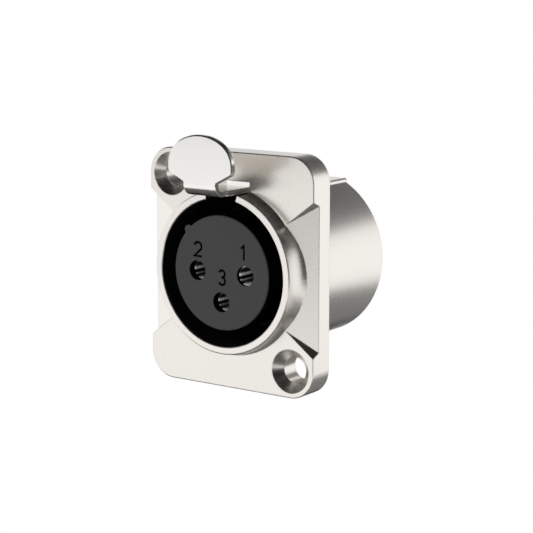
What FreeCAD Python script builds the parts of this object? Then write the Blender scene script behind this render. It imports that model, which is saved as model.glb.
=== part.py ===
import FreeCAD, Part
import math
import os
import Sketcher

# A three-pole panel socket with a latch. Millimetres, +Z up.
# The origin is the centre of the flange's back face, which lies on the panel.
# The socket faces -Y and the barrel runs to +Y through the panel.

DRIVING_SIZES = [
    # The square flange and its two screw holes
    ("flange_side_margin", 1.75),
    ("flange_top_margin", 4.25),
    ("flange_thickness", 3.64),
    ("flange_corner_radius", 3.5),
    ("flange_edge_width", 0.1),
    ("screw_edge_distance", 3.5),
    ("screw_hole_radius", 1.7),
    ("screw_sink_width", 1.15),
    # The sloped cheeks at the left and right of the collar
    ("cheek_drop", 1.295),
    ("cheek_width", 4.28),
    ("cheek_run", 3.21),
    ("cheek_corner_height", 5.54),
    ("cheek_lean", 0.595),
    # The raised collar and the annular gap for the plug's shell
    ("collar_height", 1.93),
    ("collar_rim_width", 1.02),
    ("collar_cove_radius", 5.2),
    ("collar_edge_width", 0.12),
    ("barrel_wall", 1.62),
    # The barrel behind the flange, with the web that carries the insulators
    ("barrel_length", 15.92),
    ("barrel_chamfer", 0.25),
    ("web_thickness", 1.4),
    ("web_hole_gap", 0.22),
    ("barrel_lip", 0.72),
    # The flat block on the barrel that carries the latch
    ("block_half_width", 5.3),
    ("block_drop", 0.8),
    ("block_edge_radius", 0.3),
    ("channel_half_width", 3.15),
    ("channel_depth", 0.25),
    ("window_height", 1.57),
    ("slot_half_width", 2.35),
    ("slot_end", 4.2),
    ("chamber_before_pin", 3.8),
    ("chamber_past_pin", 1.3),
    ("chamber_depth", 1.65),
    # The latch lever, a bent sheet with a round finger plate
    ("sheet_thickness", 0.7),
    ("lever_half_width", 2.5),
    ("lever_rest_gap", 0.15),
    ("lever_bend_radius", 1.5),
    ("plate_front", 9.95),
    ("plate_neck_rise", 1.75),
    ("plate_corner_rise", 1.28),
    ("plate_height", 6.05),
    ("plate_crown_radius", 6.5),
    ("plate_shoulder_radius", 3.7),
    ("plate_shoulder_angle", 61.5),
    ("plate_edge_width", 0.15),
    ("floor_end_before_pin", 2.4),
    ("ear_length", 3.7),
    ("ear_radius", 0.85),
    ("relief_start", 7.9),
    ("relief_length", 0.5),
    ("relief_depth", 0.35),
    ("hook_front", 1.2),
    ("hook_back", 1.0),
    ("hook_reach", 1.25),
    ("hook_tip_length", 0.5),
    ("hook_half_width", 1.3),
    # The latch pin and its spring
    ("pin_radius", 0.5),
    ("pin_from_rear", 3.32),
    ("pin_drop", 0.55),
    ("pin_length", 8.0),
    ("pin_ear_gap", 0.05),
    ("pin_seat_gap", 0.02),
    ("spring_wire_radius", 0.15),
    ("spring_turns", 3.0),
    ("spring_wire_sides", 6),
    ("spring_pin_gap", 0.15),
    ("spring_coil_gap", 0.06),
    ("spring_front_leg", 3.1),
    ("spring_rear_leg", 1.9),
    ("spring_rise", 12.0),
    # The front insulator with its key and the contact entries
    ("plug_gap_width", 2.15),
    ("insert_setback", 0.06),
    ("insert_edge_width", 0.1),
    ("carrier_gap", 0.13),
    ("insert_flange_thickness", 1.8),
    ("key_radius", 0.62),
    ("key_angle", 135.0),
    ("key_sink", 0.12),
    ("contact_circle_radius", 3.81),
    ("entry_radius", 1.315),
    ("insert_wall", 1.18),
    ("contact_edge_distance", 1.77),
    ("chamber_gap", 0.35),
    ("insulator_flat_depth", 1.25),
    ("insulator_flat_gap", 0.1),
    # The rear insulator
    ("rear_insulator_length", 4.2),
    ("boss_wall", 0.55),
    ("boss_height", 0.7),
    # The socket contacts with solder cups
    ("contact_bore_radius", 1.22),
    ("contact_wall", 0.68),
    ("contact_recess", 0.6),
    ("contact_late", 0.6),
    ("contact_edge_width", 0.12),
    ("contact_bore_depth", 11.0),
    ("tine_slot_width", 0.5),
    ("tine_slot_length", 8.5),
    ("tine_slot_angle", 45.0),
    ("contact_collar_rise", 0.55),
    ("contact_collar_length", 0.9),
    ("contact_gap", 0.05),
    ("cup_length", 3.4),
    ("cup_bore_radius", 1.4),
    ("cup_cut_length", 2.6),
    ("cup_past_barrel", 3.48),
    ("sleeve_thickness", 0.2),
    ("sleeve_length", 4.0),
    ("sleeve_start", 1.6),
    ("sleeve_gap_width", 0.6),
    # The screw that joins the two insulators
    ("assembly_thread_radius", 0.78),
    ("assembly_hole_radius", 0.8),
    ("assembly_clear_radius", 0.95),
    ("assembly_head_radius", 1.25),
    ("assembly_head_height", 0.9),
    ("assembly_sink_radius", 1.35),
    ("assembly_sink_depth", 1.1),
    ("assembly_length", 8.0),
    ("driver_slot_width", 0.4),
    ("driver_slot_depth", 0.45),
    # The retaining ring at the rear
    ("ring_bite", 0.37),
    ("ring_width", 1.25),
    ("ring_thickness", 0.7),
    ("ring_groove_gap", 0.05),
    ("ring_groove_width", 0.8),
    ("ring_gap_half_width", 2.6),
    ("ring_eye_radius", 0.35),
    # The earth strip that touches the plug's shell
    ("earth_width", 2.4),
    ("earth_thickness", 0.3),
    ("earth_wall_gap", 0.12),
    ("earth_bow", 0.55),
    ("earth_front", 0.6),
    ("earth_past_barrel", 3.08),
    ("earth_slot_gap", 0.15),
    ("earth_eye_radius", 0.55),
    ("earth_angle", 45.0),
]

doc = FreeCAD.newDocument("panel_socket")
sheet = doc.addObject("Spreadsheet::Sheet", "Sizes")
for row, (alias, length) in enumerate(DRIVING_SIZES, start=1):
    sheet.set("A%d" % row, alias)
    sheet.set("B%d" % row, str(length))
    sheet.setAlias("B%d" % row, alias)
doc.recompute()


class Size:
    """A length from the sheet, or one worked out from such lengths, with its formula."""

    def __init__(self, formula, value):
        self.formula = formula
        self.value = value

    def joined(self, sign, left, right, value):
        return Size("(%s %s %s)" % (formula(left), sign, formula(right)), value)

    def __add__(self, other):
        return self.joined("+", self, other, self.value + plain(other))

    def __radd__(self, other):
        return self.joined("+", other, self, plain(other) + self.value)

    def __sub__(self, other):
        return self.joined("-", self, other, self.value - plain(other))

    def __rsub__(self, other):
        return self.joined("-", other, self, plain(other) - self.value)

    def __mul__(self, other):
        return self.joined("*", self, other, self.value * plain(other))

    def __rmul__(self, other):
        return self.joined("*", other, self, plain(other) * self.value)

    def __truediv__(self, other):
        return self.joined("/", self, other, self.value / plain(other))

    def __neg__(self):
        return self.joined("-", 0, self, -self.value)


def plain(length):
    """The number behind a size."""
    return length.value if isinstance(length, Size) else float(length)


def formula(length):
    """The text that binds a property to a size."""
    return length.formula if isinstance(length, Size) else repr(float(length))


def root(square):
    return Size("sqrt(%s)" % square.formula, math.sqrt(square.value))


def sine(angle):
    return Size("sin(%s * 1 deg)" % formula(angle), math.sin(math.radians(plain(angle))))


def cosine(angle):
    return Size("cos(%s * 1 deg)" % formula(angle), math.cos(math.radians(plain(angle))))


size = {alias: Size("Sizes." + alias, length) for alias, length in DRIVING_SIZES}

# Radii that follow from the contacts' circle, outwards to the flange
contact_radius = size["contact_bore_radius"] + size["contact_wall"]
contact_collar_radius = contact_radius + size["contact_collar_rise"]
insert_radius = size["contact_circle_radius"] + contact_radius + size["contact_edge_distance"]
socket_radius = insert_radius + size["plug_gap_width"]
barrel_radius = socket_radius + size["barrel_wall"]
flange_width = (barrel_radius + size["flange_side_margin"]) * 2
flange_height = (barrel_radius + size["flange_top_margin"]) * 2
collar_front_radius = socket_radius + size["collar_rim_width"]
ring_outer_radius = socket_radius + size["ring_bite"]
ring_inner_radius = ring_outer_radius - size["ring_width"]
ring_groove_radius = ring_outer_radius + size["ring_groove_gap"]
carrier_radius = socket_radius - size["carrier_gap"]
insulator_flat = carrier_radius - size["insulator_flat_depth"]
web_hole_radius = insert_radius + size["web_hole_gap"]
key_centre_radius = insert_radius - size["key_sink"]


class Arc:
    """A round stretch of an outline, to the point end about centre."""

    def __init__(self, end, centre, left):
        self.end = end
        self.centre = centre
        self.left = left


def bind(thing, name, length):
    """Binds a property to the sheet."""
    thing.setExpression(name, formula(length))


def body(label):
    made = doc.addObject("PartDesign::Body", label)
    made.Label = label
    return made


def plane_of(owner, role):
    return [feature for feature in owner.Origin.OriginFeatures if feature.Role == role][0]


def new_sketch(owner, name, role, offset=0):
    """An empty sketch on one of the body's own planes, moved along that plane's normal."""
    made = owner.newObject("Sketcher::SketchObject", owner.Label + "_" + name)
    made.AttachmentSupport = [(plane_of(owner, role), "")]
    made.MapMode = "FlatFace"
    bind(made, "AttachmentOffset.Base.z", offset)
    return made


def front_sketch(owner, name, y, angle=0):
    """A sketch of X and Z, seen from the front, at a place along Y, turned by an angle."""
    made = new_sketch(owner, name, "XZ_Plane", -y)
    bind(made, "AttachmentOffset.Rotation.Angle", angle)
    return made


def side_sketch(owner, name, x=0):
    """A sketch of Y and Z, seen from the right."""
    return new_sketch(owner, name, "YZ_Plane", x)


def top_sketch(owner, name, z=0):
    """A sketch of X and Y, seen from above, which also serves as a radius and Y profile."""
    return new_sketch(owner, name, "XY_Plane", z)


def hold(sketch, kind, element, spot, length):
    """Fixes one coordinate of a sketch point to a size."""
    if plain(length) == 0:
        axis = -2 if kind == "DistanceX" else -1
        sketch.addConstraint(Sketcher.Constraint("PointOnObject", element, spot, axis))
        return
    number = sketch.addConstraint(Sketcher.Constraint(kind, -1, 1, element, spot, plain(length)))
    sketch.setExpression("Constraints[%d]" % number, formula(length))


def hold_point(sketch, element, spot, point):
    hold(sketch, "DistanceX", element, spot, point[0])
    hold(sketch, "DistanceY", element, spot, point[1])


def vector(point):
    return FreeCAD.Vector(plain(point[0]), plain(point[1]), 0)


def draw_arc(sketch, here, arc):
    """Adds an arc from here, with its centre held, and returns its number and end spots."""
    centre = vector(arc.centre)
    first, last = (here, arc.end) if arc.left else (arc.end, here)
    spoke, last_spoke = vector(first) - centre, vector(last) - centre
    ring = Part.Circle(centre, FreeCAD.Vector(0, 0, 1), spoke.Length)
    begin, finish = math.atan2(spoke.y, spoke.x), math.atan2(last_spoke.y, last_spoke.x)
    element = sketch.addGeometry(Part.ArcOfCircle(ring, begin, finish))
    chord = vector(last) - vector(first)
    if abs(chord.y) > abs(chord.x):
        hold(sketch, "DistanceX", element, 3, arc.centre[0])
    else:
        hold(sketch, "DistanceY", element, 3, arc.centre[1])
    return element, ((1, 2) if arc.left else (2, 1))


def outline(sketch, start, *steps):
    """Draws a closed outline from start along points and arcs, and a line back to start."""
    closed = isinstance(steps[-1], Arc) and steps[-1].end is start
    here, drawn = start, []
    for step in steps if closed else steps + (start,):
        if isinstance(step, Arc):
            element, spots = draw_arc(sketch, here, step)
            there = step.end
        else:
            element = sketch.addGeometry(Part.LineSegment(vector(here), vector(step)))
            spots, there = (1, 2), step
        hold_point(sketch, element, spots[1], there)
        drawn.append((element, spots))
        here = there
    for (element, spots), (following, next_spots) in zip(drawn, drawn[1:] + drawn[:1]):
        meeting = (element, spots[1], following, next_spots[0])
        sketch.addConstraint(Sketcher.Constraint("Coincident", *meeting))


def circle(sketch, centre, radius):
    ring = Part.Circle(vector(centre), FreeCAD.Vector(0, 0, 1), plain(radius))
    element = sketch.addGeometry(ring)
    hold_point(sketch, element, 3, centre)
    number = sketch.addConstraint(Sketcher.Constraint("Radius", element, plain(radius)))
    sketch.setExpression("Constraints[%d]" % number, formula(radius))


def rectangle(sketch, low_x, high_x, low_y, high_y):
    outline(sketch, (low_x, low_y), (high_x, low_y), (high_x, high_y), (low_x, high_y))


def grow(owner, kind, sketch, length, both_ways, backwards):
    made = owner.newObject("PartDesign::" + kind, sketch.Name + "_" + kind.lower())
    made.Profile = sketch
    made.SideType = "Symmetric" if both_ways else "One side"
    made.Reversed = backwards
    bind(made, "Length", length)
    doc.recompute()
    return made


def pad(owner, sketch, length, both_ways=False, backwards=False):
    """Raises a sketch by a length along its normal, or half on each side."""
    return grow(owner, "Pad", sketch, length, both_ways, backwards)


def cut(owner, sketch, length, both_ways=False):
    """Sinks a sketch by a length against its normal, which is +Y for a front sketch."""
    before = owner.Shape.Volume
    made = grow(owner, "Pocket", sketch, length, both_ways, False)
    must_shrink(owner, before, sketch.Name)
    return made


def must_shrink(owner, before, name):
    if owner.Shape.Volume >= before:
        raise RuntimeError("nothing was cut by " + name)


def turn(owner, kind, sketch):
    """Turns a profile of radius and Y about the Y axis."""
    made = owner.newObject("PartDesign::" + kind, sketch.Name + "_" + kind.lower())
    made.Profile = sketch
    made.ReferenceAxis = (sketch, ["V_Axis"])
    made.Angle = FULL_TURN
    doc.recompute()
    return made


def turned(owner, sketch):
    return turn(owner, "Revolution", sketch)


def turned_cut(owner, sketch):
    before = owner.Shape.Volume
    made = turn(owner, "Groove", sketch)
    must_shrink(owner, before, sketch.Name)
    return made


def edges_where(feature, wanted):
    """The names of the edges that wanted accepts."""
    named = enumerate(feature.Shape.Edges, start=1)
    return ["Edge%d" % number for number, edge in named if wanted(edge)]


def rounded(owner, feature, wanted, radius):
    made = owner.newObject("PartDesign::Fillet", feature.Name + "_rounded")
    made.Base = (feature, edges_where(feature, wanted))
    bind(made, "Radius", radius)
    doc.recompute()
    return made


def bevelled(owner, feature, wanted, width):
    made = owner.newObject("PartDesign::Chamfer", feature.Name + "_bevelled")
    made.Base = (feature, edges_where(feature, wanted))
    bind(made, "Size", width)
    doc.recompute()
    return made


def lies_at(edge, axis, place):
    """Whether an edge lies wholly in the plane where one coordinate is at place."""
    low = getattr(edge.BoundBox, axis + "Min")
    high = getattr(edge.BoundBox, axis + "Max")
    return abs(low - plain(place)) < NEAR and abs(high - plain(place)) < NEAR


def is_ring(edge, radius):
    """Whether an edge is an arc or circle of a radius."""
    return hasattr(edge.Curve, "Radius") and abs(edge.Curve.Radius - plain(radius)) < NEAR


FULL_TURN = 360
QUARTER_TURN = 90
SINK_ANGLE = -45
NEAR = 1e-4
# How far a cutting sketch starts outside the solid
CLEAR = 1.0

# Places along Y that several pieces share
flange_front = -size["flange_thickness"]
collar_front = flange_front - size["collar_height"]
insert_front = collar_front + size["insert_setback"]
groove_back = size["barrel_length"] - size["barrel_lip"]
insulator_back = groove_back - size["ring_groove_width"]
insert_back = insulator_back - size["rear_insulator_length"]
web_back = insert_back - size["insert_flange_thickness"]
socket_end = web_back - size["web_thickness"]
cup_end = size["barrel_length"] + size["cup_past_barrel"]
earth_end = size["barrel_length"] + size["earth_past_barrel"]
pin_y = size["barrel_length"] - size["pin_from_rear"]
chamber_start = pin_y - size["chamber_before_pin"]
chamber_end = pin_y + size["chamber_past_pin"]
ear_start = pin_y - size["ear_length"]
lever_floor_end = pin_y - size["floor_end_before_pin"]

# The three contacts, as X and Z: 1 at the right, 2 at the left, 3 below
contact_places = {
    1: (size["contact_circle_radius"], 0),
    2: (-size["contact_circle_radius"], 0),
    3: (0, -size["contact_circle_radius"]),
}

# The earth strip's faces, and the slot that it runs in
earth_outer_z = -(socket_radius - size["earth_wall_gap"])
earth_inner_z = earth_outer_z + size["earth_thickness"]
earth_slot_half = size["earth_width"] / 2 + size["earth_slot_gap"]
earth_slot_top = earth_inner_z + size["earth_slot_gap"]

# Heights of the latch's block and of the pin above the axis
block_top = barrel_radius - size["block_drop"]
channel_floor = block_top - size["channel_depth"]
window_top = channel_floor + size["window_height"]
chamber_floor = block_top - size["chamber_depth"]
pin_place = (pin_y, block_top - size["pin_drop"])

# The latch lever's sheet: underside, top and front face, then the finger plate and the hook
lever_under = channel_floor + size["lever_rest_gap"]
lever_top = lever_under + size["sheet_thickness"]
plate_front_y = -size["plate_front"]
plate_neck_z = lever_under + size["plate_neck_rise"]
plate_corner_z = plate_neck_z + size["plate_corner_rise"]
plate_top = plate_neck_z + size["plate_height"]
hook_tip = lever_under - size["hook_reach"]


def flange_outline(sketch):
    across = flange_width / 2
    up = flange_height / 2
    round_x = across - size["flange_corner_radius"]
    round_z = up - size["flange_corner_radius"]
    start = (-round_x, -up)
    outline(sketch, start,
            (round_x, -up), Arc((across, -round_z), (round_x, -round_z), True),
            (across, round_z), Arc((round_x, up), (round_x, round_z), True),
            (-round_x, up), Arc((-across, round_z), (-round_x, round_z), True),
            (-across, -round_z), Arc(start, (-round_x, -round_z), True))


def cheek_section(shell, name, x):
    """The slanted cheek's cross-section at x, open towards the front."""
    span = size["cheek_width"]
    inner_x = flange_width / 2 - span
    outer_z = flange_height / 2 - size["cheek_corner_height"]
    floor_y = flange_front + size["cheek_drop"] / span * (x - inner_x)
    open_y = flange_front - size["collar_height"]
    lean = -size["cheek_lean"] / size["cheek_drop"]
    line_z = outer_z - size["cheek_run"] + size["cheek_run"] / span * (x - inner_x)
    floor_z = line_z + lean * (floor_y - flange_front)
    open_z = line_z + lean * (open_y - flange_front)
    sketch = side_sketch(shell, name, x)
    outline(sketch, (floor_y, -floor_z), (floor_y, floor_z), (open_y, open_z), (open_y, -open_z))
    return sketch


def cut_cheeks(shell):
    """Slopes the flange's face back at the left and right of the collar."""
    before = shell.Shape.Volume
    side = flange_width / 2
    inner = cheek_section(shell, "cheek_inner", side - size["cheek_width"] - CLEAR)
    outer = cheek_section(shell, "cheek_outer", side + CLEAR)
    cheek = shell.newObject("PartDesign::SubtractiveLoft", "cheek")
    cheek.Profile = inner
    cheek.Sections = [outer]
    cheek.Ruled = True
    doc.recompute()
    both = shell.newObject("PartDesign::Mirrored", "cheeks")
    both.Originals = [cheek]
    both.MirrorPlane = (plane_of(shell, "YZ_Plane"), [""])
    shell.Tip = both
    doc.recompute()
    must_shrink(shell, before, "cheeks")
    return both


def on_flange_wall(point):
    radius = plain(size["flange_corner_radius"])
    past_x = abs(point.x) - plain(flange_width) / 2 + radius
    past_z = abs(point.z) - plain(flange_height) / 2 + radius
    return abs(math.hypot(max(past_x, 0), max(past_z, 0)) - radius) < NEAR


def on_flange_rim(edge):
    """Whether an edge runs round the flange's face, on its outer wall."""
    box = edge.BoundBox
    if box.YMax > -NEAR or box.XLength + box.ZLength < NEAR:
        return False
    begin, end = edge.FirstParameter, edge.LastParameter
    return all(on_flange_wall(edge.valueAt(place)) for place in (begin, (begin + end) / 2, end))


def make_shell():
    """The cast shell: flange, collar and barrel, with the latch's block on top."""
    shell = body("shell")
    sketch = front_sketch(shell, "flange", 0)
    flange_outline(sketch)
    plate = pad(shell, sketch, size["flange_thickness"])
    bevelled(shell, plate, on_flange_rim, size["flange_edge_width"])
    cut_cheeks(shell)
    add_collar_and_barrel(shell)
    add_latch_block(shell)
    bore_shell(shell)
    cut_latch_way(shell)
    drill_flange(shell)
    return shell


def add_collar_and_barrel(shell):
    root_y = flange_front / 2
    cove, depth = size["collar_cove_radius"], root_y - collar_front
    centre = (collar_front_radius + cove, collar_front)
    root_radius = centre[0] - root(cove * cove - depth * depth)
    chamfer = size["barrel_chamfer"]
    sketch = top_sketch(shell, "collar_and_barrel")
    outline(sketch, (0, collar_front), (collar_front_radius, collar_front),
            Arc((root_radius, root_y), centre, False), (barrel_radius, root_y),
            (barrel_radius, size["barrel_length"] - chamfer),
            (barrel_radius - chamfer, size["barrel_length"]),
            (0, size["barrel_length"]))
    tube = turned(shell, sketch)
    bevelled(shell, tube, lambda edge: is_ring(edge, collar_front_radius),
             size["collar_edge_width"])


def add_latch_block(shell):
    half = size["block_half_width"]
    sketch = front_sketch(shell, "block", 0)
    rectangle(sketch, -half, half, half, block_top)
    pad(shell, sketch, size["barrel_length"], backwards=True)
    sketch = front_sketch(shell, "block_top", 0)
    rectangle(sketch, -half, half, block_top, barrel_radius + CLEAR)
    flat = cut(shell, sketch, size["barrel_length"] + CLEAR)
    top_corner = lambda edge: (lies_at(edge, "Z", block_top)
                               and (lies_at(edge, "X", half) or lies_at(edge, "X", -half)))
    rounded(shell, flat, top_corner, size["block_edge_radius"])


def bore_shell(shell):
    """The socket, the web, the bore behind it with one flat, and the ring's groove."""
    front_radius, web_radius = socket_radius, web_hole_radius
    sketch = top_sketch(shell, "socket")
    outline(sketch, (0, collar_front - CLEAR), (front_radius, collar_front - CLEAR),
            (front_radius, socket_end), (web_radius, socket_end), (web_radius, web_back),
            (0, web_back))
    socket = turned_cut(shell, sketch)
    rim = lambda edge: is_ring(edge, front_radius) and lies_at(edge, "Y", collar_front)
    bevelled(shell, socket, rim, size["collar_edge_width"])
    sketch = front_sketch(shell, "rear_bore", web_back)
    flat_circle(sketch, socket_radius, insulator_flat + size["insulator_flat_gap"])
    cut(shell, sketch, insulator_back - web_back)
    sketch = top_sketch(shell, "ring_groove")
    outline(sketch, (0, insulator_back), (ring_groove_radius, insulator_back),
            (ring_groove_radius, groove_back), (socket_radius, groove_back),
            (socket_radius, size["barrel_length"] + CLEAR),
            (0, size["barrel_length"] + CLEAR))
    turned_cut(shell, sketch)
    sketch = front_sketch(shell, "earth_slot", socket_end, size["earth_angle"])
    rectangle(sketch, -earth_slot_half, earth_slot_half, -front_radius, earth_slot_top)
    cut(shell, sketch, size["web_thickness"])


def flat_circle(sketch, radius, flat):
    """A circle with its top cut off at a height."""
    half = root(radius * radius - flat * flat)
    outline(sketch, (-half, flat), Arc((half, flat), (0, 0), True))


def cut_latch_way(shell):
    """The window in the flange, the channel, the hook's slot and the chamber for the pin."""
    start = collar_front - CLEAR
    half = size["channel_half_width"]
    sketch = front_sketch(shell, "channel", start)
    rectangle(sketch, -half, half, channel_floor, window_top)
    cut(shell, sketch, chamber_end - start)
    sketch = front_sketch(shell, "slot", start)
    rectangle(sketch, -size["slot_half_width"], size["slot_half_width"],
              insert_radius + CLEAR, channel_floor)
    cut(shell, sketch, size["slot_end"] - start)
    sketch = front_sketch(shell, "chamber", chamber_start)
    rectangle(sketch, -half, half, chamber_floor, block_top + CLEAR)
    cut(shell, sketch, chamber_end - chamber_start)
    radius = size["pin_radius"] + size["pin_seat_gap"]
    low, high = pin_y - radius, pin_y + radius
    above = block_top + CLEAR
    sketch = side_sketch(shell, "pin_seats")
    outline(sketch, (low, above), (low, pin_place[1]),
            Arc((high, pin_place[1]), pin_place, True), (high, above))
    cut(shell, sketch, size["pin_length"] + size["pin_seat_gap"] * 2, both_ways=True)


def drill_flange(shell):
    across = flange_width / 2 - size["screw_edge_distance"]
    up = flange_height / 2 - size["screw_edge_distance"]
    sketch = front_sketch(shell, "screw_holes", flange_front - CLEAR)
    circle(sketch, (-across, up), size["screw_hole_radius"])
    circle(sketch, (across, -up), size["screw_hole_radius"])
    cut(shell, sketch, size["flange_thickness"] + CLEAR * 2)
    sketch = front_sketch(shell, "screw_sinks", flange_front)
    circle(sketch, (-across, up), size["screw_hole_radius"] + size["screw_sink_width"])
    circle(sketch, (across, -up), size["screw_hole_radius"] + size["screw_sink_width"])
    sinks = cut(shell, sketch, size["screw_sink_width"])
    sinks.TaperAngle = SINK_ANGLE


def key_flat_and_earth_slot(owner, start, length):
    """Cuts the flat that stops an insulator from turning, and the earth strip's slot."""
    radius = carrier_radius
    sketch = front_sketch(owner, "flat", start)
    rectangle(sketch, -radius, radius, insulator_flat, radius + CLEAR)
    cut(owner, sketch, length)
    sketch = front_sketch(owner, "earth_slot", start, size["earth_angle"])
    rectangle(sketch, -earth_slot_half, earth_slot_half, -radius - CLEAR, earth_slot_top)
    cut(owner, sketch, length)


def drill_for_contacts(owner, name, start, radius, length):
    sketch = front_sketch(owner, name, start)
    for place in contact_places.values():
        circle(sketch, place, radius)
    cut(owner, sketch, length)


def rim_of(number):
    """Where a contact's front rim lies: contact 1 meets its pin before the others."""
    recess = insert_front + size["contact_recess"]
    return recess if number == 1 else recess + size["contact_late"]


face_back = rim_of(2) - size["contact_gap"]
head_seat = insulator_back - size["assembly_sink_depth"]
screw_tip = head_seat - size["assembly_length"]


def rib_for_key(owner, start, end):
    """The rib at the upper left that fits the plug's keyway."""
    sketch = front_sketch(owner, "key", start)
    place = (key_centre_radius * cosine(size["key_angle"]),
             key_centre_radius * sine(size["key_angle"]))
    circle(sketch, place, size["key_radius"])
    pad(owner, sketch, end - start, backwards=True)


def make_insert_face():
    """The dark disc at the front of the insert, with the three contact entries."""
    face = body("insert_face")
    sketch = top_sketch(face, "profile")
    outline(sketch, (0, insert_front), (insert_radius, insert_front),
            (insert_radius, face_back), (0, face_back))
    rim = lambda edge: lies_at(edge, "Y", insert_front)
    bevelled(face, turned(face, sketch), rim, size["insert_edge_width"])
    rib_for_key(face, insert_front, face_back)
    drill_for_contacts(face, "entries", insert_front - CLEAR, size["entry_radius"],
                       face_back - insert_front + CLEAR * 2)
    start = rim_of(1) - size["contact_gap"]
    sketch = front_sketch(face, "chamber", start)
    circle(sketch, contact_places[1], contact_radius + size["chamber_gap"])
    cut(face, sketch, face_back - start + CLEAR)
    return face


def make_front_insulator():
    """The insert behind its face, hollowed round the contacts, with a flange that the web stops."""
    insert = body("front_insulator")
    sketch = top_sketch(insert, "profile")
    outline(sketch, (0, face_back), (insert_radius, face_back),
            (insert_radius, web_back), (carrier_radius, web_back),
            (carrier_radius, insert_back), (0, insert_back))
    turned(insert, sketch)
    rib_for_key(insert, face_back, socket_end)
    key_flat_and_earth_slot(insert, web_back, size["insert_flange_thickness"])
    room = contact_radius + size["chamber_gap"]
    post = size["contact_circle_radius"] - room
    wall = insert_radius - size["insert_wall"]
    half = root(wall * wall - room * room)
    sketch = front_sketch(insert, "contact_room", face_back)
    outline(sketch, (-half, room), Arc((half, room), (0, 0), True), (post, room),
            (post, -post), (-post, -post), (-post, room))
    cut(insert, sketch, insert_back - face_back)
    sketch = front_sketch(insert, "screw_hole", screw_tip - size["sheet_thickness"])
    circle(sketch, (0, 0), size["assembly_hole_radius"])
    cut(insert, sketch, insert_back - screw_tip + size["sheet_thickness"])
    return insert


def make_rear_insulator():
    """The insulator that traps the contacts' collars, with a boss round each solder cup."""
    insulator = body("rear_insulator")
    sketch = top_sketch(insulator, "profile")
    outline(sketch, (0, insert_back), (carrier_radius, insert_back),
            (carrier_radius, insulator_back), (0, insulator_back))
    turned(insulator, sketch)
    key_flat_and_earth_slot(insulator, insert_back, size["rear_insulator_length"])
    sketch = front_sketch(insulator, "bosses", insulator_back)
    for place in contact_places.values():
        circle(sketch, place, contact_radius + size["boss_wall"])
    pad(insulator, sketch, size["boss_height"], backwards=True)
    gap = size["contact_gap"]
    drill_for_contacts(insulator, "collar_seats", insert_back, contact_collar_radius + gap,
                       size["contact_collar_length"] + gap * 2)
    drill_for_contacts(insulator, "stem_holes", insert_back, contact_radius + gap,
                       size["rear_insulator_length"] + size["boss_height"])
    sketch = front_sketch(insulator, "screw_hole", insert_back)
    circle(sketch, (0, 0), size["assembly_clear_radius"])
    cut(insulator, sketch, size["rear_insulator_length"])
    sketch = front_sketch(insulator, "screw_sink", head_seat)
    circle(sketch, (0, 0), size["assembly_sink_radius"])
    cut(insulator, sketch, size["assembly_sink_depth"])
    return insulator


def make_contact(number):
    """A turned socket contact: slotted tines, a collar, and a solder cup at the rear."""
    contact = body("contact_%d" % number)
    rim, radius = rim_of(number), contact_radius
    collar_start = insert_back + size["contact_gap"]
    collar_end = collar_start + size["contact_collar_length"]
    sketch = top_sketch(contact, "profile")
    outline(sketch, (0, rim), (radius, rim), (radius, collar_start),
            (contact_collar_radius, collar_start),
            (contact_collar_radius, collar_end), (radius, collar_end),
            (radius, cup_end), (0, cup_end))
    turned(contact, sketch)
    sketch = top_sketch(contact, "bore")
    outline(sketch, (0, rim - CLEAR), (size["contact_bore_radius"], rim - CLEAR),
            (size["contact_bore_radius"], rim + size["contact_bore_depth"]),
            (0, rim + size["contact_bore_depth"]))
    bore = turned_cut(contact, sketch)
    bevelled(contact, bore, lambda edge: lies_at(edge, "Y", rim), size["contact_edge_width"])
    sketch = top_sketch(contact, "cup")
    outline(sketch, (0, cup_end - size["cup_length"]),
            (size["cup_bore_radius"], cup_end - size["cup_length"]),
            (size["cup_bore_radius"], cup_end + CLEAR), (0, cup_end + CLEAR))
    turned_cut(contact, sketch)
    sketch = side_sketch(contact, "cup_mouth")
    rectangle(sketch, cup_end - size["cup_cut_length"], cup_end + CLEAR,
              size["tine_slot_width"] / 2, radius + CLEAR)
    cut(contact, sketch, radius * 3, both_ways=True)
    sketch = front_sketch(contact, "tine_slots", rim - CLEAR, size["tine_slot_angle"])
    rectangle(sketch, -radius - CLEAR, radius + CLEAR,
              -size["tine_slot_width"] / 2, size["tine_slot_width"] / 2)
    cut(contact, sketch, size["tine_slot_length"] + CLEAR)
    set_on_contact_place(contact, number)
    return contact


def set_on_contact_place(piece, number):
    place = contact_places[number]
    bind(piece, "Placement.Base.x", place[0])
    bind(piece, "Placement.Base.z", place[1])


def make_contact_sleeve(number):
    """The split spring sleeve that presses a contact's tines onto the pin."""
    sleeve = body("contact_sleeve_%d" % number)
    start = rim_of(number) + size["sleeve_start"]
    end = start + size["sleeve_length"]
    inner = contact_radius + size["contact_gap"] / 2
    outer = inner + size["sleeve_thickness"]
    sketch = top_sketch(sleeve, "profile")
    outline(sketch, (inner, start), (outer, start), (outer, end), (inner, end))
    turned(sleeve, sketch)
    sketch = top_sketch(sleeve, "gap")
    half = size["sleeve_gap_width"] / 2
    rectangle(sketch, -half, half, start - CLEAR, end + CLEAR)
    cut(sleeve, sketch, outer + CLEAR)
    set_on_contact_place(sleeve, number)
    return sleeve


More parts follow.
